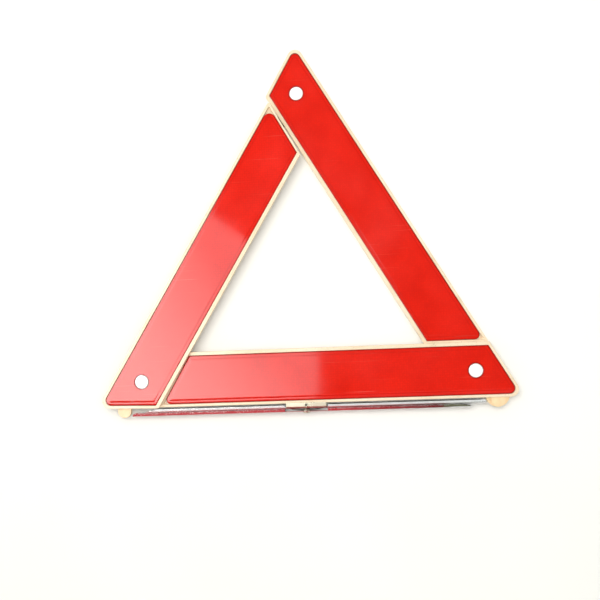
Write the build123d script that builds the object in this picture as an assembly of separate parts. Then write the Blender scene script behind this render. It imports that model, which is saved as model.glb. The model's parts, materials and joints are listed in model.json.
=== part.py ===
from build123d import *
import os
from math import cos, radians, sin, sqrt

# Folding warning triangle, lying flat on its back with its legs folded.
# Millimetres. +X runs along the bottom arm to the right, +Y up to the apex and +Z out of
# the red reflecting faces. The model is built about the triangle's centre and moved at the
# end, so that the origin is the middle of the resting plane under the whole object.
# Three equal arms overlap like a pinwheel. They lie in three layers, so that they can fold
# into one stack: right arm lowest, bottom arm in the middle, left arm on top.

# ---- driving dimensions ----
SIDE = 434.5              # sharp corner to sharp corner of the outer triangle
PIVOT_INSET = 27.1        # pivot to the arm's outer edge and to its slanted head end
PIVOT_TO_INNER = 28.8     # pivot to the arm's inner edge
ARM_THICK = 4.6
LAYER_GAP = 0.5
LATCH_PLAY = 1.4          # degrees that the left arm stands inward of true at its latch

# tail end to the neighbour's inner edge, seen from the front: two run a little under it,
# and the left arm's play closes its gap
TAIL_GAPS = {"left": 5.4, "bottom": -2.0, "right": -1.0}

# arm tray
FLOOR_THICK = 1.6
OUTER_RIM = 2.7
INNER_RIM = 3.6
TAIL_RIMS = {"left": 1.8, "bottom": 3.0, "right": 3.0}
VERTEX_RADIUS = 7.6
CORNER_RADIUS = 1.4
RECESS_RADII = [5.8, 1.2, 1.0, 1.0]
BOSS_RADIUS = 6.8
BOSS_TOP = 2.6
BACK_PANEL_DEPTH = 0.5
BACK_PANEL_MARGIN = 6.5
BACK_RIB = 3.0
BACK_PANELS = 4
BACK_PANEL_RADIUS = 3.0
BACK_PANEL_START = 24.0   # first panel, from the head pivot
BEYOND = 400.0            # past any end of an arm, for cuts that run out of it

# film and reflector plate
FILM_THICK = 0.2
GROOVE = 0.4              # gap between the rim and the plate
PLATE_BASE_TOP = 3.6      # height of the plate's low border
PLATE_TOP = 4.0           # height of its raised middle
PLATE_BORDER = 3.6
PLATE_VERTEX_RADIUS = 5.6
PLATE_TAIL_RADII = {"left": 7.0, "bottom": 4.5, "right": 5.0}
PLATE_CORNER_RADIUS = 1.2
PLATE_HOLE = 7.5
FILM_HOLE = 7.0

# corner buttons and what holds them
BUTTON_RADIUS = 6.9
BUTTON_SKIRT_TOP = 4.1
BUTTON_TOP = 4.8
SHANK_RADIUS = 3.0
RUNNING_GAP = 0.06
TONGUE_HALF_WIDTH = 13.0
TONGUE_ROOT = 9.0
RETAINER_RADIUS = 5.0
RETAINER_THICK = 0.8
RETAINER_RISE = 0.3       # retainer above the lower arm's back
RETAINER_POCKET = 5.4
RETAINER_POCKET_DEPTH = 1.3
SHANK_END_RISE = 0.15     # end of a corner shank above the lower arm's back
APEX_STEM_RISE = 0.05     # end of the apex stem above the resting plane
SKIRT_CLEAR = 0.05        # button's skirt above its boss
WASHER_RADIUS = 8.0
WASHER_THICK = 0.4
WASHER_DROP = 0.45        # washer's underside below the upper arm's back

# apex latch
LATCH_WIDTH = 12.0
LATCH_THICK = 0.6
LATCH_LOW = 0.4           # underside of its front, above the resting plane
LATCH_FRONT = 7.5         # length past the apex stem
LATCH_RAMP_END = 39.5     # foot of the ramp, short of the apex stem
LATCH_RAMP = 30.0
LATCH_FOOT = 14.0
LATCH_FORK = 4.5          # width of the open slot
LATCH_SEAT_CLEAR = 0.3
LATCH_SEAT_RUN = 8.0      # how far the seat runs on over the ramp
LATCH_PIN_RADIUS = 1.0
LATCH_PINS = (3.5, 10.5)  # pins from the foot's end
PIN_DEPTH = 1.5
STEM_NECK_RADIUS = 2.1
POCKET_WIDTH = 14.4
POCKET_DEPTH = 1.25
POCKET_END = 11.0         # pocket's end past the apex stem
POCKET_START = 60.0       # runs out of the arm on the other side

# stand
STAND_X = -1.5            # leg pivot, a little left of the middle
STAND_Z = 4.9             # height of the leg pivot
BRACKET_WIDTH = 41.0
SHEET = 0.8
BRACKET_LAP = 0.4         # how far the front flange laps over the rim
BACK_LAP = 4.6
RELIEF_CLEAR = 2.0        # left arm's relief, beyond each end of the front flange
RELIEF_REACH = 3.6
RELIEF_DEPTH = 1.2
WEB_BOTTOM = 0.6          # web's lower edge above the resting plane
BEND_RADIUS = 1.0
FLANGE_CLEAR = 0.05
ARM_TO_STAND = 3.6        # arm's outer edge to the bracket's upright web
BRACKET_CLEAR = 0.3
EYELET_RADIUS = 1.5
EYELET_BORE = 1.2
EYELET_FLANGE = 2.1
EYELET_RISE = 0.6
EYELET_ROLL = 0.4
EYELET_OUT = 1.85         # eyelet's centre beyond the arm's outer edge
LEG_SHORT = 167.25        # pivot to the tapered end
LEG_LONG = 180.75         # pivot to the rounded end
LEG_DEPTH = 9.0
LEG_HEIGHT = 3.4
LEG_BEND = 1.1
LEG_CLEAR = 22.0          # half length without flanges about the pivot
LEG_TAPER = 12.0
LEG_TIP = 0.5             # flat end of the taper
LEG_GAP = 0.2
PIVOT_RADIUS = 2.5
PIVOT_HEAD_RADIUS = 3.75
PIVOT_HEAD = 1.4
PIVOT_HEAD_ROLL = 1.0
PIVOT_CLEAR = 0.05
BUSH_RADIUS = 3.3
BUSH_CLEAR = 0.1
LEG_WASHER_RADIUS = 4.3
LEG_WASHER_THICK = 0.5
SPRING_LENGTH = 35.0
SPRING_WIDTH = 7.0
SPRING_THICK = 0.5
SPRING_RISE = 1.9

# feet
FOOT_X = 190.8
FOOT_RADIUS = 7.0
FOOT_DROP = 9.8           # arm's outer edge to the foot's lowest point
LOBE_RADIUS = 12.0
FOOT_CLEAR = 0.15         # foot to the arm's outer edge
FOOT_BOTTOM = 0.5         # above the arm's back
FOOT_TOP = 3.9
LOBE_TOP = 2.3
TANG_WIDTH = 8.0
TANG_LENGTH = 2.2
TANG_RISE = 0.4           # tang's underside above the foot's
TANG_CLEAR = 0.05
FOOT_BAR_START = 30.0     # bar behind the left foot, back from the tail pivot
FOOT_BAR_INNER = 8.0
FOOT_BAR_PAST = 1.5
FOOT_BAR_RADIUS = 4.0

# ---- worked-out dimensions ----
APOTHEM = SIDE / (2 * sqrt(3))
CENTRE_TO_PIVOT = 2 * (APOTHEM - PIVOT_INSET)
PIVOT_SPACING = CENTRE_TO_PIVOT * sqrt(3)
SIN30 = 0.5
COS30 = cos(radians(30))
PITCH = ARM_THICK + LAYER_GAP
RIGHT_Z = 0.0
BOTTOM_Z = PITCH
LEFT_Z = 2 * PITCH
EDGE_Y = -APOTHEM
LEFT_ANGLE = 60 - LATCH_PLAY
FILM_TOP = FLOOR_THICK + FILM_THICK
HEAD_CENTRES = {
    "left": (-PIVOT_SPACING / 2, PIVOT_INSET + EDGE_Y, LEFT_Z),
    "bottom": (PIVOT_SPACING / 2, PIVOT_INSET + EDGE_Y, BOTTOM_Z),
    "right": (0.0, CENTRE_TO_PIVOT, RIGHT_Z),
}
ARM_ANGLES = {"left": LEFT_ANGLE, "bottom": 180.0, "right": 300.0}
STAND_TOP = EDGE_Y - ARM_TO_STAND
WEB_BACK = STAND_TOP - SHEET
UPPER_LEG_BACK = WEB_BACK - LEG_GAP - SHEET
LOWER_LEG_TOP = UPPER_LEG_BACK - LEG_GAP
STAND_BOTTOM = LOWER_LEG_TOP - LEG_HEIGHT


def at(name):
    """Place of an arm: local X from head pivot to tail pivot, local +Y to the outer edge."""
    return Location(HEAD_CENTRES[name], (0, 0, ARM_ANGLES[name]))


def disc(radius, low, high, centre=(0, 0)):
    """Upright cylinder between two heights."""
    middle = (centre[0], centre[1], (low + high) / 2)
    return Location(middle) * Cylinder(radius, high - low)


def block(x0, x1, y0, y1, z0, z1):
    """Box given by its limits."""
    middle = ((x0 + x1) / 2, (y0 + y1) / 2, (z0 + z1) / 2)
    return Location(middle) * Box(x1 - x0, y1 - y0, z1 - z0)


def across(radius, top, bottom, centre_x=STAND_X, centre_z=STAND_Z):
    """Cylinder along Y between two Y positions, about the leg pivot."""
    middle = Location((centre_x, (top + bottom) / 2, centre_z), (90, 0, 0))
    return middle * Cylinder(radius, top - bottom)


# ---- arm outlines ----
def head_x(y, distance):
    """Where the slanted head end, this far from the pivot, meets a line of constant y."""
    return -(distance + y * SIN30) / COS30


def tail_x(y, distance):
    """Where the slanted tail end, this far short of the far pivot, meets that line."""
    return PIVOT_SPACING + (y * SIN30 - distance) / COS30


def arm_outline(inset_outer, inset_inner, inset_tail, arm, radii):
    """Arm face with each side set in by its own amount; radii go round from the vertex."""
    outer = PIVOT_INSET - inset_outer
    inner = inset_inner - PIVOT_TO_INNER
    head = PIVOT_INSET - inset_outer
    tail = PIVOT_TO_INNER + TAIL_GAPS[arm] + inset_tail
    corners = [
        (head_x(outer, head), outer),
        (head_x(inner, head), inner),
        (tail_x(inner, tail), inner),
        (tail_x(outer, tail), outer),
    ]
    return make_face(FilletPolyline(*corners, radius=radii, close=True))


def plate_outline(inset, arm):
    """Reflector plate face, set in from the edge of the tray's recess."""
    radii = [
        max(PLATE_VERTEX_RADIUS - inset, 1.0),
        PLATE_CORNER_RADIUS,
        PLATE_CORNER_RADIUS,
        max(PLATE_TAIL_RADII[arm] - inset, 1.0),
    ]
    edge = GROOVE + inset
    return arm_outline(OUTER_RIM + edge, INNER_RIM + edge, TAIL_RIMS[arm] + edge, arm, radii)


# ---- arm pieces, each in its arm's own frame ----
def back_panels(arm):
    """Shallow moulded panels in the back, between cross ribs."""
    margin = BACK_PANEL_MARGIN
    field = arm_outline(margin, margin, margin, arm, [BACK_PANEL_RADIUS] * 4)
    panels = extrude(field, BACK_PANEL_DEPTH)
    start = BACK_PANEL_START
    step = (PIVOT_SPACING - 2 * start - PIVOT_TO_INNER) / BACK_PANELS
    bars = [(-BEYOND, start), (start + BACK_PANELS * step, BEYOND)]
    for index in range(BACK_PANELS + 1):
        middle = start + index * step
        bars.append((middle - BACK_RIB / 2, middle + BACK_RIB / 2))
    for x0, x1 in bars:
        panels -= block(x0, x1, -PIVOT_INSET, PIVOT_INSET, -1, ARM_THICK)
    return panels


def tray(arm, tail=None):
    """Shallow tray with a rim all round, a boss under the head button and an optional tail."""
    corners = [VERTEX_RADIUS, CORNER_RADIUS, CORNER_RADIUS, CORNER_RADIUS]
    body = extrude(arm_outline(0, 0, 0, arm, corners), ARM_THICK)
    if tail is not None:
        body += tail
    recess = arm_outline(OUTER_RIM, INNER_RIM, TAIL_RIMS[arm], arm, RECESS_RADII)
    body -= Pos(0, 0, FLOOR_THICK) * extrude(recess, ARM_THICK)
    body -= back_panels(arm)
    body += disc(BOSS_RADIUS, 0.0, BOSS_TOP)
    return body


def tail_tongue(arm):
    """Flat tongue that runs on under the next arm's head to its pivot."""
    root = tail_x(0, PIVOT_TO_INNER + TAIL_GAPS[arm]) - TONGUE_ROOT
    strip = block(root, PIVOT_SPACING, -TONGUE_HALF_WIDTH, TONGUE_HALF_WIDTH, 0, ARM_THICK)
    strip += disc(TONGUE_HALF_WIDTH, 0, ARM_THICK, (PIVOT_SPACING, 0))
    return strip


def reflector(arm):
    """Clear red plate with a raised middle and a hole round the button."""
    plate = Pos(0, 0, FILM_TOP) * extrude(plate_outline(0, arm), PLATE_BASE_TOP - FILM_TOP)
    middle = extrude(plate_outline(PLATE_BORDER, arm), PLATE_TOP - FILM_TOP)
    plate += Pos(0, 0, FILM_TOP) * middle
    plate -= disc(PLATE_HOLE, 0, ARM_THICK)
    return plate


def film(arm):
    """Thin retroreflecting film under the plate."""
    sheet = Pos(0, 0, FLOOR_THICK) * extrude(plate_outline(0, arm), FILM_THICK)
    return sheet - disc(FILM_HOLE, 0, ARM_THICK)


def button(shank_bottom):
    """White domed button with its shank, in the frame of the arm that it shows on."""
    rise = BUTTON_TOP - BUTTON_SKIRT_TOP
    dome_radius = (BUTTON_RADIUS ** 2 + rise ** 2) / (2 * rise)
    dome = Pos(0, 0, BUTTON_TOP - dome_radius) * Sphere(dome_radius)
    cap = dome & disc(BUTTON_RADIUS, BOSS_TOP + SKIRT_CLEAR, BUTTON_TOP + 1)
    return cap + disc(SHANK_RADIUS, shank_bottom, BUTTON_SKIRT_TOP)


def pivot_hardware():
    """Button, washer and push nut of a corner pivot, in the upper arm's frame."""
    drop = -PITCH
    shank = button(drop + SHANK_END_RISE)
    washer = disc(WASHER_RADIUS, -WASHER_DROP, WASHER_THICK - WASHER_DROP)
    washer -= disc(SHANK_RADIUS + RUNNING_GAP, -1, 1)
    nut_low = drop + RETAINER_RISE
    nut = disc(RETAINER_RADIUS, nut_low, nut_low + RETAINER_THICK)
    nut -= disc(SHANK_RADIUS, drop, drop + ARM_THICK)
    return shank, washer, nut


def pivot_holes(body, pocket_centre, head_gap, tail_gap):
    """Shank hole at the head, and shank hole and nut pocket at the tail pivot."""
    body -= disc(SHANK_RADIUS + head_gap, -1, ARM_THICK + 1)
    if pocket_centre is not None:
        body -= disc(SHANK_RADIUS + tail_gap, -1, ARM_THICK + 1, pocket_centre)
        body -= disc(RETAINER_POCKET, -1, RETAINER_POCKET_DEPTH, pocket_centre)
    return body


TAIL_PIVOT = (PIVOT_SPACING, 0)

# ---- left arm: top layer ----
left_arm = tray("left")
left_arm = pivot_holes(left_arm, None, RUNNING_GAP, 0)
bracket_from_pivot = STAND_X + PIVOT_SPACING / 2
left_arm -= block(
    bracket_from_pivot - BRACKET_WIDTH / 2 - RELIEF_CLEAR,
    bracket_from_pivot + BRACKET_WIDTH / 2 + RELIEF_CLEAR,
    -PIVOT_TO_INNER - 1,
    -PIVOT_TO_INNER + RELIEF_REACH,
    -1,
    RELIEF_DEPTH,
)

# ---- right arm: lowest layer ----
right_arm = tray("right", tail_tongue("right"))
right_arm = pivot_holes(right_arm, TAIL_PIVOT, 0, RUNNING_GAP)

# ---- bottom arm: middle layer, carries the stand and the feet ----
foot_bar_start = PIVOT_SPACING - FOOT_BAR_START
foot_bar_end = PIVOT_SPACING / 2 + FOOT_X + FOOT_RADIUS + FOOT_BAR_PAST
foot_bar = block(foot_bar_start, foot_bar_end, FOOT_BAR_INNER, PIVOT_INSET, 0, ARM_THICK)
foot_bar_ends = foot_bar.edges().filter_by(Axis.Z).group_by(Axis.X)[-1]
foot_bar = fillet(foot_bar_ends, FOOT_BAR_RADIUS)
bottom_arm = tray("bottom", tail_tongue("bottom") + foot_bar)
bottom_arm = pivot_holes(bottom_arm, TAIL_PIVOT, 0, 0)


# ---- apex latch: a springy forked strip under the left arm's tail ----
apex_x = PIVOT_SPACING * cos(radians(LATCH_PLAY))
apex_y = PIVOT_SPACING * sin(radians(LATCH_PLAY))
ramp_end = apex_x - LATCH_RAMP_END
ramp_start = ramp_end - LATCH_RAMP
foot_end = ramp_start - LATCH_FOOT
foot_z = 0.02
low_z = LATCH_LOW - LEFT_Z
side_line = [
    (foot_end, foot_z),
    (ramp_start, foot_z),
    (ramp_end, low_z),
    (apex_x + LATCH_FRONT, low_z),
    (apex_x + LATCH_FRONT, low_z + LATCH_THICK),
    (ramp_end + 0.1, low_z + LATCH_THICK),
    (ramp_start + 0.1, foot_z + LATCH_THICK),
    (foot_end, foot_z + LATCH_THICK),
]
profile = make_face(Polyline(*side_line, close=True))
latch = extrude(Plane.XZ * profile, LATCH_WIDTH / 2, both=True)
latch = Pos(0, apex_y, 0) * latch
fork_half = LATCH_FORK / 2
fork_end = apex_x + 2 * LATCH_FRONT
latch -= block(apex_x, fork_end, apex_y - fork_half, apex_y + fork_half, low_z - 1, foot_z)
latch -= disc(fork_half, low_z - 1, foot_z, (apex_x, apex_y))
seat_half = LATCH_WIDTH / 2 + LATCH_SEAT_CLEAR
left_arm -= block(
    foot_end - LATCH_SEAT_CLEAR,
    ramp_start + LATCH_SEAT_RUN,
    apex_y - seat_half,
    apex_y + seat_half,
    -1,
    foot_z + LATCH_THICK,
)
latch_pins = Part()
for offset in LATCH_PINS:
    pin_centre = (foot_end + offset, apex_y)
    latch_pins += disc(LATCH_PIN_RADIUS, 0, PIN_DEPTH, pin_centre)
    latch -= disc(LATCH_PIN_RADIUS, -1, PIN_DEPTH, pin_centre)
    left_arm -= disc(LATCH_PIN_RADIUS, -1, PIN_DEPTH, pin_centre)

# ---- apex button: its grooved stem stands in a pocket in the right arm's back ----
apex_button = button(APEX_STEM_RISE)
groove_low = LATCH_LOW - RUNNING_GAP
groove_high = LATCH_LOW + LATCH_THICK + RUNNING_GAP
groove = disc(SHANK_RADIUS + 1, groove_low, groove_high)
groove -= disc(STEM_NECK_RADIUS, 0, BOSS_TOP)
apex_button -= groove
latch_path = Location((0, 0, 0), (0, 0, LEFT_ANGLE - ARM_ANGLES["right"]))
pocket_half = POCKET_WIDTH / 2
pocket = block(-POCKET_START, POCKET_END, -pocket_half, pocket_half, -1, POCKET_DEPTH)
right_arm -= latch_path * pocket

left_button, left_washer, left_nut = pivot_hardware()
right_button, right_washer, right_nut = pivot_hardware()


# ---- stand bracket: folded sheet that grips the bottom arm's edge ----
rim_top = BOTTOM_Z + ARM_THICK
bracket_left = STAND_X - BRACKET_WIDTH / 2
bracket_right = STAND_X + BRACKET_WIDTH / 2
flange_low = rim_top + FLANGE_CLEAR
flange_high = flange_low + SHEET
back_low = BOTTOM_Z + FLANGE_CLEAR
web = block(bracket_left, bracket_right, WEB_BACK, STAND_TOP, WEB_BOTTOM, flange_high)
front_flange = block(
    bracket_left, bracket_right, WEB_BACK, EDGE_Y + BRACKET_LAP, flange_low, flange_high
)
back_flange = block(
    bracket_left, bracket_right, WEB_BACK, EDGE_Y + BACK_LAP, back_low, back_low + SHEET
)
stand_bracket = web + front_flange
bend = stand_bracket.edges().filter_by(Axis.X).sort_by(lambda e: e.center().Z - e.center().Y)
stand_bracket = fillet(bend[-1:], BEND_RADIUS)
stand_bracket += back_flange
eyelet_centre = (STAND_X, EDGE_Y - EYELET_OUT)
eyelet_top = flange_high + EYELET_RISE
stand_bracket -= disc(EYELET_RADIUS, 0, eyelet_top, eyelet_centre)
stand_bracket -= across(PIVOT_RADIUS, STAND_TOP, WEB_BACK - 1)

bracket_eyelet = disc(EYELET_RADIUS, back_low, eyelet_top, eyelet_centre)
bracket_eyelet += disc(EYELET_FLANGE, flange_high, eyelet_top, eyelet_centre)
rolled = bracket_eyelet.edges().filter_by(GeomType.CIRCLE).group_by(Axis.Z)[-1]
bracket_eyelet = fillet(rolled, EYELET_ROLL)
bracket_eyelet -= disc(EYELET_BORE, 0, eyelet_top, eyelet_centre)

notch = block(
    bracket_left - BRACKET_CLEAR,
    bracket_right + BRACKET_CLEAR,
    EDGE_Y - 1,
    EDGE_Y + BACK_LAP + BRACKET_CLEAR,
    0,
    back_low + SHEET + FLANGE_CLEAR,
)
bottom_arm = at("bottom") * bottom_arm - notch


# ---- legs: two equal steel channels open towards the arm, one turned end for end ----
def leg_channel():
    """Channel along X about its pivot, back at y = -LEG_HEIGHT, long end towards -X."""
    outer = Pos(0, -LEG_HEIGHT / 2) * Rectangle(LEG_DEPTH, LEG_HEIGHT)
    outer = fillet(outer.vertices().group_by(Axis.Y)[0], LEG_BEND)
    hollow_height = LEG_HEIGHT - SHEET + 1
    inner = Pos(0, hollow_height / 2 - LEG_HEIGHT + SHEET)
    inner *= Rectangle(LEG_DEPTH - 2 * SHEET, hollow_height)
    inner = fillet(inner.vertices().group_by(Axis.Y)[0], LEG_BEND - SHEET)
    section = outer - inner
    length = LEG_LONG + LEG_SHORT
    start = Plane((-LEG_LONG, 0, 0), x_dir=(0, 0, -1), z_dir=(1, 0, 0))
    body = extrude(start * section, length)
    body -= block(-LEG_CLEAR, LEG_CLEAR, SHEET - LEG_HEIGHT, 1, -LEG_DEPTH, LEG_DEPTH)
    taper_start = LEG_SHORT - LEG_TAPER
    taper = make_face(
        Polyline(
            (taper_start, 1),
            (LEG_SHORT + 1, 1),
            (LEG_SHORT + 1, SHEET - LEG_HEIGHT),
            (LEG_SHORT - LEG_TIP, SHEET - LEG_HEIGHT),
            (taper_start, 0),
            close=True,
        )
    )
    body -= extrude(taper, LEG_DEPTH, both=True)
    nose_radius = LEG_HEIGHT - SHEET
    nose_start = nose_radius - LEG_LONG
    nose = block(-LEG_LONG - 1, nose_start, SHEET - LEG_HEIGHT, 1, -LEG_DEPTH, LEG_DEPTH)
    nose -= disc(nose_radius, -LEG_DEPTH, LEG_DEPTH, (nose_start, -nose_radius))
    body -= nose
    pivot_hole = Location((0, -LEG_HEIGHT, 0), (90, 0, 0))
    body -= pivot_hole * Cylinder(PIVOT_RADIUS + PIVOT_CLEAR, 4 * LEG_HEIGHT)
    return body


lower_leg = Pos(STAND_X, LOWER_LEG_TOP, STAND_Z) * leg_channel()
turned = Location((STAND_X, UPPER_LEG_BACK + LEG_HEIGHT, STAND_Z), (0, 180, 0))
upper_leg = turned * leg_channel()

lower_web = STAND_BOTTOM + SHEET
head_end = STAND_BOTTOM - PIVOT_HEAD
leg_rivet = across(PIVOT_RADIUS, STAND_TOP, head_end + PIVOT_HEAD_ROLL)
rivet_head = across(PIVOT_HEAD_RADIUS, STAND_BOTTOM - PIVOT_CLEAR, head_end)
head_rim = rivet_head.edges().filter_by(GeomType.CIRCLE).sort_by(Axis.Y)[0]
leg_rivet += fillet(head_rim, PIVOT_HEAD_ROLL)
washer_low = lower_web + PIVOT_CLEAR
washer_high = washer_low + LEG_WASHER_THICK
rivet_bush = across(BUSH_RADIUS, UPPER_LEG_BACK - PIVOT_CLEAR, washer_low)
rivet_bush -= across(PIVOT_RADIUS, UPPER_LEG_BACK, lower_web)
leg_washer = across(LEG_WASHER_RADIUS, washer_high, washer_low)
leg_washer -= across(BUSH_RADIUS, UPPER_LEG_BACK, lower_web)

# bowed leaf: its ends press the upper leg and its middle the washer on the lower one
half = SPRING_LENGTH / 2
bow_radius = (half ** 2 + SPRING_RISE ** 2) / (2 * SPRING_RISE)
bow_bottom = washer_high + PIVOT_CLEAR
bow_centre = (STAND_X, bow_bottom + bow_radius)
bow = Pos(*bow_centre) * (Circle(bow_radius) - Circle(bow_radius - SPRING_THICK))
keep = Pos(STAND_X, bow_bottom) * Rectangle(SPRING_LENGTH, 2 * SPRING_RISE + SPRING_THICK)
leg_spring = extrude(bow & keep, SPRING_WIDTH)
leg_spring = Pos(0, 0, STAND_Z - SPRING_WIDTH / 2) * leg_spring
leg_spring -= across(BUSH_RADIUS + BUSH_CLEAR, UPPER_LEG_BACK, lower_web)


# ---- feet on the bottom arm's edge ----
def foot(side, with_lobe):
    """Half-round foot with a tang; the right one has a wider thin lobe behind it."""
    low = BOTTOM_Z + FOOT_BOTTOM
    centre = (side * FOOT_X, EDGE_Y - FOOT_DROP + FOOT_RADIUS)
    body = disc(FOOT_RADIUS, low, BOTTOM_Z + FOOT_TOP, centre)
    if with_lobe:
        lobe_centre = (side * FOOT_X, EDGE_Y - FOOT_DROP + LOBE_RADIUS)
        body += disc(LOBE_RADIUS, low, BOTTOM_Z + LOBE_TOP, lobe_centre)
    outer_side = EDGE_Y - FOOT_CLEAR
    body -= block(-BEYOND, BEYOND, outer_side, 0, 0, rim_top)
    x0 = side * FOOT_X - TANG_WIDTH / 2
    x1 = x0 + TANG_WIDTH
    tang_end = EDGE_Y + TANG_LENGTH
    tang_low = low + TANG_RISE
    tang_top = BOTTOM_Z + LOBE_TOP
    tang = block(x0, x1, outer_side - 1, tang_end, tang_low, tang_top)
    clear = TANG_CLEAR
    slot = block(
        x0 - clear, x1 + clear, EDGE_Y - 1, tang_end + clear, tang_low - clear, tang_top + clear
    )
    return body + tang, slot


left_foot, left_slot = foot(-1, False)
right_foot, right_slot = foot(1, True)
bottom_arm -= left_slot
bottom_arm -= right_slot

# ---- all nodes in place ----
left, bottom, right = at("left"), at("bottom"), at("right")
parts = {
    "bottom_frame": bottom_arm,
    "bottom_film": bottom * film("bottom"),
    "bottom_reflector": bottom * reflector("bottom"),
    "left_frame": left * left_arm,
    "left_film": left * film("left"),
    "left_reflector": left * reflector("left"),
    "right_frame": right * right_arm,
    "right_film": right * film("right"),
    "right_reflector": right * reflector("right"),
    "left_button": left * left_button,
    "left_pivot_washer": left * left_washer,
    "left_push_nut": left * left_nut,
    "right_button": bottom * right_button,
    "right_pivot_washer": bottom * right_washer,
    "right_push_nut": bottom * right_nut,
    "apex_button": right * apex_button,
    "apex_latch": left * latch,
    "latch_pins": left * latch_pins,
    "stand_bracket": stand_bracket,
    "bracket_eyelet": bracket_eyelet,
    "upper_leg": upper_leg,
    "lower_leg": lower_leg,
    "leg_rivet": leg_rivet,
    "rivet_bush": rivet_bush,
    "leg_spring": leg_spring,
    "leg_washer": leg_washer,
    "left_foot": left_foot,
    "right_foot": right_foot,
}

# ---- origin: middle of the resting plane ----
boxes = [shape.bounding_box() for shape in parts.values()]
middle_x = (min(box.min.X for box in boxes) + max(box.max.X for box in boxes)) / 2
middle_y = (min(box.min.Y for box in boxes) + max(box.max.Y for box in boxes)) / 2
to_origin = Pos(-middle_x, -middle_y, 0)

os.makedirs("parts", exist_ok=True)
for name, shape in parts.items():
    export_step(to_origin * shape, f"parts/{name}.step")

print("origin shift", round(-middle_x, 4), round(-middle_y, 4))
for name, (x, y, z) in HEAD_CENTRES.items():
    print(name, "head pivot", round(x - middle_x, 4), round(y - middle_y, 4), z)
print("leg pivot", round(STAND_X - middle_x, 4), round(WEB_BACK - middle_y, 4), STAND_Z)
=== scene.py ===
import json
import math

import bmesh
import bpy
from mathutils import Euler, Matrix, Vector


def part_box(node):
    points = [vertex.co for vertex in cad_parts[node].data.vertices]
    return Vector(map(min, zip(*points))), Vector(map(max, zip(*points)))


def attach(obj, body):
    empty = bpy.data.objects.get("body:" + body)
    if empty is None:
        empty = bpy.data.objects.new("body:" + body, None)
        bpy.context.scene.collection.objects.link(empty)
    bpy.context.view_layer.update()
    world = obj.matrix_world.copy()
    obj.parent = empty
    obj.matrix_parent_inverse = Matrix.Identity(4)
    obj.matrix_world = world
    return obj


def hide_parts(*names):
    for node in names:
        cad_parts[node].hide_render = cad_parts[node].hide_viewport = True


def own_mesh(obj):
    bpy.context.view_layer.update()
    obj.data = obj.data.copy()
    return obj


# Folding warning triangle lying on its back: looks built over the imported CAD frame.
# The scene is in metres; sizes of the pieces made here are in millimetres. Arm pieces are made
# in their arm's own frame (local X from the head pivot to the tail pivot, local +Y to the outer
# edge, Z from the arm's back) and then placed on the pivots that the CAD nodes give.

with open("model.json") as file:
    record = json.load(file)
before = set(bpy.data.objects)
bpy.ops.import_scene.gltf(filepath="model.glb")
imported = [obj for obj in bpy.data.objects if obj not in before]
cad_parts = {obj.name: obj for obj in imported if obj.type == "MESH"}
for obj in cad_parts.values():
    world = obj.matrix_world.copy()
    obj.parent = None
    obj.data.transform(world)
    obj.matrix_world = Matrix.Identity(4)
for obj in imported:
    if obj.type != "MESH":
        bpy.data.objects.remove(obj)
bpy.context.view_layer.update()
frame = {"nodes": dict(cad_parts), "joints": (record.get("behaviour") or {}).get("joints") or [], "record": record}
nodes = frame["nodes"]
MM = 0.001


def centre(node):
    low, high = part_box(node)
    return (low + high) / 2


def bottom_of(node):
    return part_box(node)[0].z


# ---------------------------------------------------------------- places of the arms
joints = {j["name"]: j for j in frame["joints"]}
left_pivot = centre("left_button")
right_pivot = centre("right_button")
apex_pivot = centre("apex_button")
SPACING = (right_pivot - left_pivot).xy.length
LEFT_ANGLE = -joints["left_fold"]["range_deg"][0]
ARMS = {
    "left": (left_pivot, LEFT_ANGLE, "left_frame", "left_arm"),
    "bottom": (right_pivot, 180.0, "bottom_frame", "bottom_arm"),
    "right": (apex_pivot, 300.0, "right_frame", "right_arm"),
}


def arm_matrix(arm):
    pivot, angle, node, _ = ARMS[arm]
    place = Vector((pivot.x, pivot.y, bottom_of(node)))
    return Matrix.Translation(place) @ Matrix.Rotation(math.radians(angle), 4, "Z")


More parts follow.
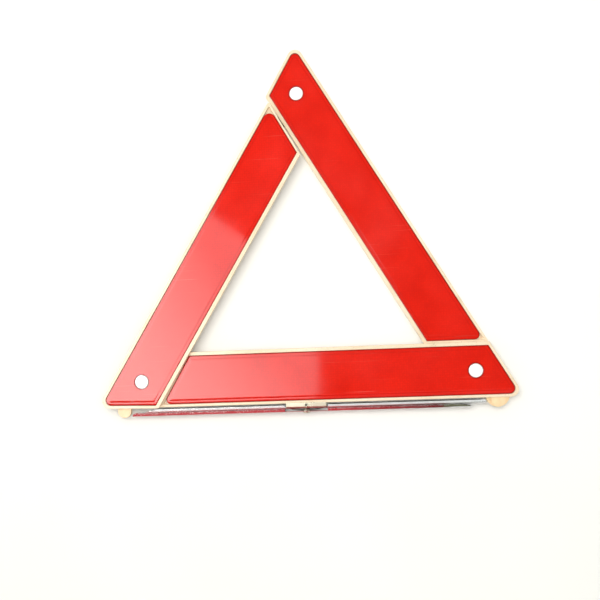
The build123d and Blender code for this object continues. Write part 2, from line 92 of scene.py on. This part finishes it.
# ---------------------------------------------------------------- node materials
class Nodes:
    """Short way to build one node material."""

    def __init__(self, name):
        self.material = bpy.data.materials.new(name)
        self.material.use_nodes = True
        self.tree = self.material.node_tree
        self.tree.nodes.clear()
        self.out = self.tree.nodes.new("ShaderNodeOutputMaterial")
        self.shader = self.tree.nodes.new("ShaderNodeBsdfPrincipled")
        self.link(self.shader.outputs["BSDF"], self.out.inputs["Surface"])
        coordinates = self.tree.nodes.new("ShaderNodeTexCoord")
        self.object = coordinates.outputs["Object"]

    def link(self, a, b):
        self.tree.links.new(a, b)

    def set(self, **values):
        for key, value in values.items():
            self.shader.inputs[key.replace("_", " ")].default_value = value

    def node(self, kind, inputs=None, **attributes):
        made = self.tree.nodes.new(kind)
        for key, value in attributes.items():
            setattr(made, key, value)
        for key, value in (inputs or {}).items():
            if isinstance(value, bpy.types.NodeSocket):
                self.link(value, made.inputs[key])
            else:
                made.inputs[key].default_value = value
        return made

    def stretched(self, scale, turn=(0, 0, 0)):
        made = self.node("ShaderNodeMapping", {"Vector": self.object})
        made.inputs["Scale"].default_value = scale
        made.inputs["Rotation"].default_value = turn
        return made.outputs["Vector"]

    def noise(self, scale, detail=3.0, rough=0.5, source=None):
        made = self.node(
            "ShaderNodeTexNoise",
            {"Vector": source or self.object, "Scale": scale, "Detail": detail, "Roughness": rough},
        )
        return made.outputs["Fac"]

    def ramp(self, factor, stops):
        made = self.node("ShaderNodeValToRGB", {"Fac": factor})
        ramp = made.color_ramp
        while len(ramp.elements) < len(stops):
            ramp.elements.new(0.5)
        for element, (position, colour) in zip(ramp.elements, stops):
            element.position = position
            if isinstance(colour, (int, float)):
                colour = (colour, colour, colour)
            element.color = (*colour, 1.0)
        return made.outputs["Color"]

    def mix(self, factor, a, b, blend="MIX"):
        made = self.node("ShaderNodeMix", data_type="RGBA", blend_type=blend)
        for socket, value in ((made.inputs[0], factor), (made.inputs[6], a), (made.inputs[7], b)):
            if isinstance(value, bpy.types.NodeSocket):
                self.link(value, socket)
            elif isinstance(value, (int, float)):
                socket.default_value = value
            else:
                socket.default_value = (*value, 1.0)
        return made.outputs[2]

    def maths(self, operation, a, b=0.0):
        made = self.node("ShaderNodeMath", operation=operation)
        for socket, value in ((made.inputs[0], a), (made.inputs[1], b)):
            if isinstance(value, bpy.types.NodeSocket):
                self.link(value, socket)
            else:
                socket.default_value = value
        return made.outputs[0]

    def bump(self, height, strength, distance, normal=None):
        inputs = {"Height": height, "Strength": strength, "Distance": distance}
        if normal is not None:
            inputs["Normal"] = normal
        return self.node("ShaderNodeBump", inputs).outputs["Normal"]

    def colour(self, socket):
        self.link(socket, self.shader.inputs["Base Color"])

    def roughness(self, socket):
        self.link(socket, self.shader.inputs["Roughness"])

    def normal(self, socket):
        self.link(socket, self.shader.inputs["Normal"])


def cream_plastic():
    """Ivory moulded plastic: slow yellowing, fine moulding grain, sparse dirt specks."""
    m = Nodes("cream_plastic")
    tone = m.ramp(
        m.noise(14.0, 3.0),
        [(0.3, (0.72, 0.57, 0.39)), (0.55, (0.80, 0.655, 0.48)), (0.75, (0.84, 0.70, 0.54))],
    )
    specks = m.ramp(m.noise(900.0, 2.0, 0.6), [(0.0, 1.0), (0.30, 1.0), (0.34, 0.0)])
    grime = m.ramp(m.noise(60.0, 4.0, 0.6), [(0.45, 0.0), (0.75, 0.35)])
    dirty = m.mix(grime, tone, (0.52, 0.38, 0.20))
    m.colour(m.mix(m.maths("MULTIPLY", specks, 0.6), dirty, (0.20, 0.12, 0.06)))
    m.roughness(m.ramp(m.noise(220.0, 3.0), [(0.3, 0.34), (0.7, 0.52)]))
    m.normal(m.bump(m.noise(2600.0, 2.0), 0.25, 0.00006))
    m.set(IOR=1.49, Specular_IOR_Level=0.45, Subsurface_Weight=0.06, Subsurface_Scale=0.002)
    m.shader.inputs["Subsurface Radius"].default_value = (1.0, 0.75, 0.45)
    return m.material


def red_plate():
    """Glossy clear red plate: faint cell mottling below, fine scratches and dust on top, painted shade along its
    rim and round its button hole.
    """
    m = Nodes("red_plate")
    # per-point painted shade, set where the plate is built: 1 next to the rim and round the button hole
    edge_shade = m.node("ShaderNodeAttribute", attribute_name="edge_shade").outputs["Fac"]
    cells = m.node(
        "ShaderNodeTexVoronoi", {"Vector": m.object, "Scale": 420.0, "Randomness": 0.35}
    ).outputs["Distance"]
    mottle = m.ramp(m.noise(38.0, 4.0, 0.55), [(0.3, 0.0), (0.7, 1.0)])
    body = m.mix(mottle, (0.66, 0.0080, 0.0025), (0.76, 0.0115, 0.0040))
    grain = m.ramp(cells, [(0.0, 1.0), (0.35, 0.9), (0.62, 0.68)])
    body = m.mix(0.35, body, m.mix(1.0, body, grain, "MULTIPLY"))
    # painted shade: the dark red by the rim stands for the rim's shade, partly also the clear edge's own deeper
    # red; round the hole it is painted shade of the button
    body = m.mix(edge_shade, body, (0.34, 0.006, 0.004))
    # dark chips (wear), placed only where the painted-shade mask is high, next to the rim
    nicks = m.ramp(m.noise(420.0, 2.0, 0.7), [(0.66, 0.0), (0.69, 1.0)])
    body = m.mix(m.maths("MULTIPLY", nicks, edge_shade), body, (0.07, 0.02, 0.01))
    hair = m.noise(9.0, 1.0, 0.5, m.stretched((1.0, 90.0, 1.0), (0, 0, 0.62)))
    scuff = m.noise(7.0, 1.0, 0.5, m.stretched((1.0, 110.0, 1.0), (0, 0, -0.35)))
    lines = m.maths(
        "ADD",
        m.ramp(hair, [(0.72, 0.0), (0.76, 1.0)]),
        m.ramp(scuff, [(0.73, 0.0), (0.77, 1.0)]),
    )
    lines = m.maths("MULTIPLY", lines, m.ramp(m.noise(16.0, 2.0), [(0.45, 0.0), (0.60, 1.0)]))
    m.colour(m.mix(m.maths("MULTIPLY", lines, 0.30), body, (0.90, 0.16, 0.12)))
    patches = m.ramp(m.noise(18.0, 3.0), [(0.35, 0.055), (0.7, 0.13)])
    m.roughness(m.maths("ADD", patches, m.maths("MULTIPLY", lines, 0.10)))
    waves = m.bump(m.noise(9.0, 1.0), 0.3, 0.0012)
    m.normal(m.bump(m.maths("MULTIPLY", lines, -1.0), 0.12, 0.00003, waves))
    m.set(IOR=1.49, Specular_IOR_Level=0.5)
    return m.material


def film_backing():
    """Silvery backing of tiny glass cells."""
    m = Nodes("reflector_film")
    cells = m.node("ShaderNodeTexVoronoi", {"Vector": m.object, "Scale": 900.0}).outputs["Distance"]
    m.colour(m.ramp(cells, [(0.0, (0.85, 0.85, 0.87)), (0.6, (0.55, 0.55, 0.60))]))
    m.roughness(m.ramp(m.noise(300.0), [(0.3, 0.25), (0.7, 0.42)]))
    m.normal(m.bump(cells, 0.4, 0.0001))
    m.set(Metallic=0.6)
    return m.material


def white_plastic():
    """Glossy white button with a few grey rubs."""
    m = Nodes("white_button")
    rub = m.ramp(m.noise(500.0, 3.0, 0.6), [(0.42, 0.0), (0.75, 1.0)])
    m.colour(m.mix(m.maths("MULTIPLY", rub, 0.25), (0.92, 0.92, 0.92), (0.72, 0.72, 0.74)))
    m.roughness(m.ramp(m.noise(260.0), [(0.3, 0.16), (0.7, 0.30)]))
    m.normal(m.bump(m.noise(1500.0), 0.12, 0.00005))
    m.set(IOR=1.49, Subsurface_Weight=0.05, Subsurface_Scale=0.0015)
    return m.material


def metal(name, dark, light, rough, along=(1.0, 40.0, 40.0), tarnish=0.25):
    """Steel with rolling lines along X, light tarnish and uneven polish."""
    m = Nodes(name)
    rolled = m.noise(40.0, 4.0, 0.6, m.stretched(along))
    tone = m.ramp(rolled, [(0.3, dark), (0.7, light)])
    stain = m.ramp(m.noise(70.0, 4.0, 0.65), [(0.55, 0.0), (0.80, 1.0)])
    brown = tuple(c * s for c, s in zip(dark, (0.55, 0.42, 0.30)))
    m.colour(m.mix(m.maths("MULTIPLY", stain, tarnish), tone, brown))
    m.roughness(m.ramp(m.noise(150.0, 3.0), [(0.3, rough * 0.75), (0.7, rough * 1.35)]))
    m.normal(m.bump(rolled, 0.03, 0.00003))
    m.set(Metallic=1.0)
    return m.material


def dull_plastic(name, light, dark, rough):
    """Moulded plastic with cloudy colour and a fine grain."""
    m = Nodes(name)
    m.colour(m.ramp(m.noise(180.0, 4.0, 0.6), [(0.35, dark), (0.7, light)]))
    m.roughness(m.ramp(m.noise(400.0), [(0.3, rough * 0.85), (0.7, rough * 1.15)]))
    m.normal(m.bump(m.noise(1400.0), 0.25, 0.00008))
    m.set(IOR=1.5, Subsurface_Weight=0.08, Subsurface_Scale=0.002)
    return m.material


CREAM = cream_plastic()
RED = red_plate()
FILM = film_backing()
WHITE = white_plastic()
NYLON = dull_plastic("nylon", (0.80, 0.77, 0.68), (0.66, 0.62, 0.52), 0.42)
FOOT = dull_plastic("foot_plastic", (0.86, 0.66, 0.40), (0.78, 0.56, 0.32), 0.48)
SPRING = metal("spring_steel", (0.16, 0.17, 0.15), (0.34, 0.36, 0.33), 0.28)
PLATED = metal("plated_steel", (0.50, 0.55, 0.43), (0.66, 0.71, 0.58), 0.30)
LEG = metal("leg_steel", (0.74, 0.74, 0.74), (0.88, 0.88, 0.88), 0.06, tarnish=0.12)

MATERIALS = {
    "cream_plastic": CREAM,
    "red_reflector": RED,
    "reflector_film": FILM,
    "white_button": WHITE,
    "nylon": NYLON,
    "spring_steel": SPRING,
    "plated_steel": PLATED,
    "leg_steel": LEG,
    "foot_plastic": FOOT,
}
SLOT_OF = {s["node"]: s["material_slot"] for s in frame["record"]["subparts"]}


# ---------------------------------------------------------------- carried-over CAD nodes
MERGE = 0.002 * MM         # points of the CAD mesh closer than this are one
FLAT = math.radians(0.6)   # faces that meet at less than this are one
SHARP = math.radians(38)   # edges sharper than this are rounded


def even_normals(made):
    """Shade large flat faces flat and let only the small ones bend."""
    even = made.modifiers.new("even", "WEIGHTED_NORMAL")
    even.keep_sharp = True


def finish_node(name, width):
    """Weld the CAD mesh, merge its flat triangles, round its edges and smooth it."""
    node = nodes[name]
    weld = node.modifiers.new("weld", "WELD")
    weld.merge_threshold = MERGE
    flat = node.modifiers.new("flat", "DECIMATE")
    flat.decimate_type = "DISSOLVE"
    flat.angle_limit = FLAT
    if width:
        bevel = node.modifiers.new("bevel", "BEVEL")
        bevel.width = width
        bevel.segments = 2
        bevel.limit_method = "ANGLE"
        bevel.angle_limit = SHARP
        bevel.use_clamp_overlap = True
    even_normals(node)
    node.data.materials.clear()
    node.data.materials.append(MATERIALS[SLOT_OF[name]])
    for polygon in node.data.polygons:
        polygon.use_smooth = True


# width of each node's rounded edges; nodes that aren't here keep theirs sharp
WIDTHS = {
    "bottom_frame": 0.35,
    "left_frame": 0.35,
    "right_frame": 0.35,
    "stand_bracket": 0.14,
    "bracket_eyelet": 0.08,
    "upper_leg": 0.12,
    "lower_leg": 0.12,
    "leg_rivet": 0.10,
    "left_foot": 0.30,
    "right_foot": 0.30,
    "left_pivot_washer": 0.08,
    "right_pivot_washer": 0.08,
    "left_push_nut": 0.08,
    "right_push_nut": 0.08,
    "leg_washer": 0.06,
    "latch_pins": 0.10,
}
for name in nodes:
    finish_node(name, WIDTHS.get(name, 0.0) * MM)


# ---------------------------------------------------------------- arm-shaped outlines
FULL_HEAD = 27.1          # pivot to the outer side and the slanted head end
FULL_INNER = 28.8         # pivot to the inner side
# from each arm's tail end to the inner edge of the arm there; below zero the tail runs past it
GAPS = {"left": 5.4, "bottom": -2.0, "right": -1.0}
ARC_STEPS = 7
SIDE_STEPS = 12


def side_crossings(inset_outer, inset_inner, inset_tail, gap):
    """Corners of an arm-shaped outline in mm, in from the arm's sides, head vertex first."""
    spacing = SPACING / MM
    outer = FULL_HEAD - inset_outer
    inner = inset_inner - FULL_INNER
    head = FULL_HEAD - inset_outer
    tail = FULL_INNER + gap + inset_tail
    lean = math.sqrt(0.75)
    return [
        Vector((-(head + outer / 2) / lean, outer)),
        Vector((-(head + inner / 2) / lean, inner)),
        Vector((spacing + (inner / 2 - tail) / lean, inner)),
        Vector((spacing + (outer / 2 - tail) / lean, outer)),
    ]


def rounded(corners, radii):
    """Closed outline with rounded corners; every outline gets the same number of points."""
    count = len(corners)
    arcs = []
    for i, corner in enumerate(corners):
        before = (corners[i - 1] - corner).normalized()
        after = (corners[(i + 1) % count] - corner).normalized()
        half = before.angle(after) / 2
        reach = radii[i] / math.tan(half)
        middle = corner + (before + after).normalized() * radii[i] / math.sin(half)
        start = corner + before * reach
        stop = corner + after * reach
        first = math.atan2(start.y - middle.y, start.x - middle.x)
        last = math.atan2(stop.y - middle.y, stop.x - middle.x)
        turn = (last - first + math.pi) % (2 * math.pi) - math.pi
        arc = []
        for k in range(ARC_STEPS + 1):
            angle = first + turn * k / ARC_STEPS
            arc.append(middle + Vector((math.cos(angle), math.sin(angle))) * radii[i])
        arcs.append(arc)
    points = []
    for i, arc in enumerate(arcs):
        points.extend(arc)
        following = arcs[(i + 1) % count][0]
        for k in range(1, SIDE_STEPS):
            points.append(arc[-1].lerp(following, k / SIDE_STEPS))
    return points


def circle(radius, count):
    angles = [2 * math.pi * k / count for k in range(count)]
    return [Vector((radius * math.cos(angle), radius * math.sin(angle))) for angle in angles]


def add_ring(bm, points, z):
    return [bm.verts.new((p.x * MM, p.y * MM, z * MM)) for p in points]


def skin(bm, rings):
    """Quads between successive closed rings."""
    for low, high in zip(rings, rings[1:]):
        count = len(low)
        for k in range(count):
            bm.faces.new((low[k], low[(k + 1) % count], high[(k + 1) % count], high[k]))


def fill_between(bm, outer, inner):
    """Flat face field between an outer ring and a hole ring."""
    edges = []
    for ring in (outer, inner):
        count = len(ring)
        for k in range(count):
            edges.append(bm.edges.get((ring[k], ring[(k + 1) % count])))
    bmesh.ops.triangle_fill(bm, edges=edges, use_beauty=True)


def to_object(bm, name, matrix, body, material, smooth, stands_for):
    """Object from a finished mesh, placed by its points, riding on a body in place of a node."""
    bmesh.ops.recalc_face_normals(bm, faces=bm.faces)
    mesh = bpy.data.meshes.new(name)
    bm.to_mesh(mesh)
    bm.free()
    mesh.materials.append(material)
    for polygon in mesh.polygons:
        polygon.use_smooth = True
    mesh.set_sharp_from_angle(angle=math.radians(smooth))
    mesh.transform(matrix)
    made = bpy.data.objects.new(name, mesh)
    bpy.context.scene.collection.objects.link(made)
    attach(made, body)
    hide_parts(stands_for)
    return made


# ---------------------------------------------------------------- reflector plates
RIM = (2.7, 3.6)           # tray rim on the outer and head sides, and on the inner side
TAIL_RIM = {"left": 1.8, "bottom": 3.0, "right": 3.0}
GROOVE = 0.22              # visible gap between the rim and the plate
PLATE_RADII = (5.6, 1.2, 1.2)  # head vertex, then the two inner corners
TAIL_RADII = {"left": 7.0, "bottom": 4.5, "right": 5.0}
# across the plate's edge: distance in from the edge, height from the plate's back, darkening (painted shade of the
# rim, partly the clear edge's own deeper red; a little again at the step up to the raised middle)
PLATE_PROFILE = [
    (0.25, 0.00, 1.0),
    (0.00, 0.18, 1.0),
    (0.00, 1.50, 1.0),
    (0.10, 1.78, 1.0),
    (0.35, 1.95, 0.9),
    (0.80, 2.02, 0.55),
    (1.40, 2.05, 0.20),
    (2.20, 2.06, 0.0),
    (3.00, 2.06, 0.0),
    (3.45, 2.075, 0.25),
    (3.75, 2.10, 0.30),
    (4.20, 2.155, 0.10),
    (4.70, 2.19, 0.0),
    (5.40, 2.20, 0.0),
]
# across its button hole: radius, height from the plate's back, painted shade of the button
HOLE_PROFILE = [
    (7.40, 0.00, 1.0),
    (7.20, 0.20, 1.0),
    (7.20, 1.88, 1.0),
    (7.35, 2.08, 1.0),
    (7.75, 2.18, 0.9),
    (8.30, 2.20, 0.5),
    (9.20, 2.20, 0.0),
]


HOLE_STEPS = 48


def plate_ring(arm, inset):
    corners = side_crossings(*(r + GROOVE + inset for r in (*RIM, TAIL_RIM[arm])), GAPS[arm])
    radii = [max(r - inset, 0.6 + 0.1 * inset) for r in (*PLATE_RADII, TAIL_RADII[arm])]
    return rounded(corners, radii)


# ring of points, each carrying the painted shade value that the plate's material reads
def shaded_ring(bm, shade, points, height, dark):
    ring = add_ring(bm, points, height)
    for vertex in ring:
        vertex[shade] = dark
    return ring


def reflector_plate(arm):
    """Plate with a rounded edge, a low border, a raised middle and a rolled button hole, with painted shade by the
    rim and the hole.
    """
    node = f"{arm}_reflector"
    bm = bmesh.new()
    shade = bm.verts.layers.float.new("edge_shade")
    base = (bottom_of(node) - bottom_of(f"{arm}_frame")) / MM
    rings = [
        shaded_ring(bm, shade, plate_ring(arm, inset), base + height, dark)
        for inset, height, dark in PLATE_PROFILE
    ]
    skin(bm, rings)
    holes = [
        shaded_ring(bm, shade, circle(radius, HOLE_STEPS), base + height, dark)
        for radius, height, dark in HOLE_PROFILE
    ]
    skin(bm, holes)
    fill_between(bm, rings[-1], holes[-1])
    fill_between(bm, rings[0], holes[0])
    body = ARMS[arm][3]
    even_normals(
        to_object(bm, f"{arm}_plate", arm_matrix(arm), body, RED, 50.0, node)
    )


for arm in ARMS:
    reflector_plate(arm)


# ---------------------------------------------------------------- buttons
BUTTON_RADIUS = 6.9
BUTTON_TOP = 4.8
DOME_RADIUS = 34.4
SKIRT_LOW = 2.65           # above the back of the arm that the button sits on
SHANK_RADIUS = 3.0
SHOULDER = 0.04            # small cone between the skirt and the shank
NECK_RADIUS = 2.1          # bottom of the apex stem's groove
NECK_TOP = 1.06
NECK_FOOT = 0.34
LATHE_STEPS = 56


def dome_height(radius):
    return BUTTON_TOP - radius * radius / (2 * DOME_RADIUS)


def lathe(name, profile, arm, body, material, node):
    """Turned piece about an arm's head pivot, from (radius, height) pairs, axis to axis."""
    bm = bmesh.new()
    rings = [add_ring(bm, circle(radius, LATHE_STEPS), height) for radius, height in profile]
    skin(bm, rings)
    bm.faces.new(rings[0])
    bm.faces.new(rings[-1])
    even_normals(to_object(bm, name, arm_matrix(arm), body, material, 42.0, node))


def button(arm, node, body):
    """Domed cap with a gate mark, a rolled rim and a shouldered shank."""
    low = (bottom_of(node) - bottom_of(f"{arm}_frame")) / MM
    gate = [(0.35, dome_height(0) - 0.10), (0.55, dome_height(0.5) - 0.08)]
    profile = gate + [(0.75, dome_height(0.7))]
    profile += [(r, dome_height(r)) for r in (1.6, 2.8, 4.0, 5.2, 6.0, 6.45)]
    profile += [(6.70, 4.09), (6.84, 3.98), (BUTTON_RADIUS, 3.80), (BUTTON_RADIUS, 2.80)]
    profile += [(6.75, SKIRT_LOW), (SHANK_RADIUS + SHOULDER, SKIRT_LOW)]
    profile += [(SHANK_RADIUS, SKIRT_LOW - SHOULDER)]
    if arm == "right":
        profile += [(SHANK_RADIUS, NECK_TOP + 0.1), (2.9, NECK_TOP), (NECK_RADIUS, NECK_TOP)]
        profile += [(NECK_RADIUS, NECK_FOOT), (2.85, NECK_FOOT)]
        profile += [(2.95, NECK_FOOT - 0.06), (2.8, low)]
    else:
        profile += [(SHANK_RADIUS, low + 0.45), (2.88, low + 0.15), (2.6, low)]
        profile += [(1.2, low), (0.9, low + 0.4)]
    lathe(f"{arm}_head_button", profile, arm, body, WHITE, node)


button("left", "left_button", "bottom_arm")
button("bottom", "right_button", "bottom_arm")
button("right", "apex_button", "right_arm")


# ---------------------------------------------------------------- apex latch strip
LATCH_WIDTH = 12.0
LATCH_THICK = 0.6
LATCH_FRONT = 7.5          # length past the apex stem
RAMP_END = 39.5            # end of the ramp, short of the apex stem
RAMP = 30.0                # length of the ramp along the arm
LATCH_FOOT = 14.0          # flat part that the pins hold
LATCH_RISE = 0.02          # foot's underside above the arm's back
FORK_HALF = 2.25
FORK_STEPS = 12
BEND_REACH = 3.0           # each bend is spread this far to both sides
BEND_CUT = 0.5             # spacing of the cross cuts in a bend
BURR = 0.09                # width of the strip's broken edges


def fork_outline(tail, front, apex_x):
    """Strip seen from above: rounded foot end, and a front slotted open for the apex stem."""
    half = LATCH_WIDTH / 2
    outline = [(tail + 1.5, -half), (front - 2.2, -half), (front - 0.6, -half + 0.7)]
    outline += [(front, -half + 2.0), (front, -FORK_HALF - 1.3), (front - 1.6, -FORK_HALF)]
    for k in range(FORK_STEPS + 1):
        angle = math.pi * (1.5 - k / FORK_STEPS)
        outline.append((apex_x + FORK_HALF * math.cos(angle), FORK_HALF * math.sin(angle)))
    outline += [(front - 1.6, FORK_HALF), (front, FORK_HALF + 1.3), (front, half - 2.0)]
    outline += [(front - 0.6, half - 0.7), (front - 2.2, half), (tail + 1.5, half)]
    outline += [(tail + 0.4, half - 0.4), (tail, half - 1.5), (tail, 1.5 - half)]
    return outline + [(tail + 0.4, 0.4 - half)]


def strip_height(x, ramp_start, ramp_end, high, low):
    """Underside of the strip: flat, down a ramp, flat, with both bends rounded."""
    share = min(max((x - ramp_start) / RAMP, 0.0), 1.0)
    height = high + (low - high) * share
    for bend, sign in ((ramp_start, -1.0), (ramp_end, 1.0)):
        off = abs(x - bend)
        if off < BEND_REACH:
            height += sign * (high - low) / RAMP * (BEND_REACH - off) ** 2 / (4 * BEND_REACH)
    return height


def break_edges(mesh, width):
    """Small flat on every sharp edge."""
    bm = bmesh.new()
    bm.from_mesh(mesh)
    sharp = [e for e in bm.edges if len(e.link_faces) == 2 and e.calc_face_angle() > 0.9]
    bmesh.ops.bevel(bm, geom=sharp, offset=width, segments=1, affect="EDGES")
    bm.to_mesh(mesh)
    bm.free()


def latch_strip():
    """Sprung strip: flat foot, ramp with rounded bends and an open fork with flared mouth."""
    play = math.radians(60.0 - LEFT_ANGLE)
    apex_x = SPACING / MM * math.cos(play)
    apex_y = SPACING / MM * math.sin(play)
    low = (bottom_of("apex_latch") - bottom_of("left_frame")) / MM
    ramp_end = apex_x - RAMP_END
    ramp_start = ramp_end - RAMP
    outline = fork_outline(ramp_start - LATCH_FOOT, apex_x + LATCH_FRONT, apex_x)
    bm = bmesh.new()
    base = bm.faces.new([bm.verts.new((x, y + apex_y, 0.0)) for x, y in outline])
    raised = bmesh.ops.extrude_face_region(bm, geom=[base])["geom"]
    for item in raised:
        if isinstance(item, bmesh.types.BMVert):
            item.co.z = LATCH_THICK
    across_bend = [BEND_CUT * k for k in range(-6, 7)]
    cuts = [ramp_start + step for step in across_bend]
    cuts += [ramp_start + RAMP * k / 8 for k in range(1, 8)]
    cuts += [ramp_end + step for step in across_bend]
    for x in sorted(cuts):
        everything = bm.verts[:] + bm.edges[:] + bm.faces[:]
        bmesh.ops.bisect_plane(bm, geom=everything, plane_co=(x, 0, 0), plane_no=(1, 0, 0))
    for vertex in bm.verts:
        vertex.co.z += strip_height(vertex.co.x, ramp_start, ramp_end, LATCH_RISE, low)
        vertex.co *= MM
    made = to_object(
        bm, "latch_strip", arm_matrix("left"), "left_arm", SPRING, 35.0,
        "apex_latch",
    )
    break_edges(made.data, BURR * MM)
    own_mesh(made)


latch_strip()


# ---------------------------------------------------------------- camera
# nearly straight above, a little right of the middle and towards the bottom arm
CAMERA_PLACE = (0.04945, -0.10808, 0.72487)
CAMERA_TURN = (2.5551, 4.33193, -2.19279)  # degrees
camera = bpy.data.objects.new("camera", bpy.data.cameras.new("camera"))
bpy.context.scene.collection.objects.link(camera)
camera.data.lens = 42.0
camera.data.sensor_width = 36.0
camera.location = CAMERA_PLACE
camera.rotation_euler = Euler([math.radians(angle) for angle in CAMERA_TURN], "XYZ")
camera.data.clip_start = 0.05
bpy.context.scene.camera = camera


# ---------------------------------------------------------------- floor
FLOOR_SIZE = 60.0
GLOW_FROM = 0.7            # distance at which the floor begins to glow
GLOW_FULL = 2.4
GLOW = 0.75


def floor():
    """Pale floor that glows faintly far from the object, where the lamps don't reach."""
    m = Nodes("floor")
    m.colour(m.ramp(m.noise(6.0, 2.0), [(0.3, (0.84, 0.84, 0.82)), (0.7, (0.87, 0.865, 0.845))]))
    m.set(Roughness=0.7, Specular_IOR_Level=0.2)
    away = m.node("ShaderNodeVectorMath", {0: m.object}, operation="LENGTH").outputs["Value"]
    reach = {"Value": away, "From Min": GLOW_FROM, "From Max": GLOW_FULL, "To Max": GLOW}
    glow = m.node("ShaderNodeMapRange", reach).outputs["Result"]
    m.link(glow, m.shader.inputs["Emission Strength"])
    bpy.ops.mesh.primitive_plane_add(size=FLOOR_SIZE, location=(0, 0, 0))
    plane = bpy.context.object
    plane.name = "floor"
    plane.data.materials.append(m.material)


floor()


# ---------------------------------------------------------------- light
def sky():
    """Soft studio surround: dim and slightly warm overhead, brighter towards the walls."""
    world = bpy.data.worlds.new("studio")
    bpy.context.scene.world = world
    world.use_nodes = True
    tree = world.node_tree
    tree.nodes.clear()
    out = tree.nodes.new("ShaderNodeOutputWorld")
    back = tree.nodes.new("ShaderNodeBackground")
    coordinates = tree.nodes.new("ShaderNodeTexCoord")
    split = tree.nodes.new("ShaderNodeSeparateXYZ")
    ramp = tree.nodes.new("ShaderNodeValToRGB")
    ramp.color_ramp.elements[0].position = 0.35
    ramp.color_ramp.elements[0].color = (1.5, 1.5, 1.48, 1)
    ramp.color_ramp.elements[1].position = 0.85
    ramp.color_ramp.elements[1].color = (0.22, 0.215, 0.13, 1)
    tree.links.new(coordinates.outputs["Generated"], split.inputs[0])
    tree.links.new(split.outputs["Z"], ramp.inputs["Fac"])
    tree.links.new(ramp.outputs["Color"], back.inputs["Color"])
    tree.links.new(back.outputs["Background"], out.inputs["Surface"])
    back.inputs["Strength"].default_value = 0.72


def card(name, points, colour, strength, fade=None):
    """Glowing card that only reflections show; fade is direction, start, end, share at start."""
    bm = bmesh.new()
    bm.faces.new([bm.verts.new(p) for p in points])
    mesh = bpy.data.meshes.new(name)
    bm.to_mesh(mesh)
    bm.free()
    made = bpy.data.objects.new(name, mesh)
    bpy.context.scene.collection.objects.link(made)
    material = bpy.data.materials.new(name)
    material.use_nodes = True
    tree = material.node_tree
    tree.nodes.clear()
    out = tree.nodes.new("ShaderNodeOutputMaterial")
    glow = tree.nodes.new("ShaderNodeEmission")
    glow.inputs["Color"].default_value = (*colour, 1)
    glow.inputs["Strength"].default_value = strength
    tree.links.new(glow.outputs[0], out.inputs["Surface"])
    if fade:
        direction, start, end, share = fade
        coordinates = tree.nodes.new("ShaderNodeTexCoord")
        place = tree.nodes.new("ShaderNodeVectorMath")
        place.operation = "DOT_PRODUCT"
        place.inputs[1].default_value = direction
        ramp = tree.nodes.new("ShaderNodeMapRange")
        ramp.inputs["From Min"].default_value = start
        ramp.inputs["From Max"].default_value = end
        ramp.inputs["To Min"].default_value = share * strength
        ramp.inputs["To Max"].default_value = strength
        tree.links.new(coordinates.outputs["Object"], place.inputs[0])
        tree.links.new(place.outputs["Value"], ramp.inputs["Value"])
        tree.links.new(ramp.outputs["Result"], glow.inputs["Strength"])
    mesh.materials.append(material)
    made.visible_camera = False
    made.visible_shadow = False
    made.visible_diffuse = False


def soft_key(name, place, width, energy, colour):
    """Large soft light aimed at the origin, which the shiny faces don't mirror."""
    light = bpy.data.lights.new(name, "AREA")
    light.shape = "SQUARE"
    light.size = width
    light.energy = energy
    light.color = colour
    made = bpy.data.objects.new(name, light)
    bpy.context.scene.collection.objects.link(made)
    made.location = place
    made.rotation_euler = (Vector() - Vector(place)).to_track_quat("-Z", "Y").to_euler()
    made.visible_glossy = False


CARD_HEIGHT = 0.2
STRIP_START = -0.1975      # the pale strip runs in -Y from here
STRIP_END = -0.2042        # the case's red begins here
CASE_END = -0.30
CARD_LEFT = -0.30
CASE_RIGHT = 0.16
CASE_RED = (0.70, 0.055, 0.065)
CASE_STRENGTH = 0.9
CASE_FADE = ((1.0, 0.0, 0.0), CASE_RIGHT, 0.02, 0.25)
WINDOW_HEIGHT = 1.0


def level_card(name, left, right, near, far, colour, strength, fade=None):
    corners = [(left, near), (right, near), (right, far), (left, far)]
    points = [(x, y, CARD_HEIGHT) for x, y in corners]
    card(name, points, colour, strength, fade)


sky()
soft_key("key", (-0.28, 0.28, 1.25), 1.0, 12.5, (1.0, 0.985, 0.96))
soft_key("fill", (0.50, 0.0, 1.3), 1.4, 7.0, (1, 1, 1))
# window overhead to the left: its reflection covers the lower left of the plates
window_outline = [(-0.039, 0.008), (-0.039, -0.60), (-1.15, -0.60), (-1.15, 0.82)]
card(
    "window_card",
    [(x, y, WINDOW_HEIGHT) for x, y in window_outline],
    (1.0, 0.98, 0.95),
    9.0,
    fade=((0.84, 0.542, 0.0), -0.19, -0.50, 0.37),
)
# what the polished legs mirror: a pale strip, and the red of a case lying beside the object
level_card("pale_strip", CARD_LEFT, 0.30, STRIP_START, STRIP_END, (0.90, 0.92, 0.90), 1.1)
level_card(
    "case_strip", CARD_LEFT, CASE_RIGHT, STRIP_END, CASE_END, CASE_RED, CASE_STRENGTH, CASE_FADE
)
case_wall = [(CARD_LEFT, CARD_HEIGHT), (CASE_RIGHT, CARD_HEIGHT), (CASE_RIGHT, 0.0), (CARD_LEFT, 0.0)]
card("case_wall", [(x, CASE_END, z) for x, z in case_wall], CASE_RED, CASE_STRENGTH, CASE_FADE)

bpy.context.scene.view_settings.view_transform = "Standard"
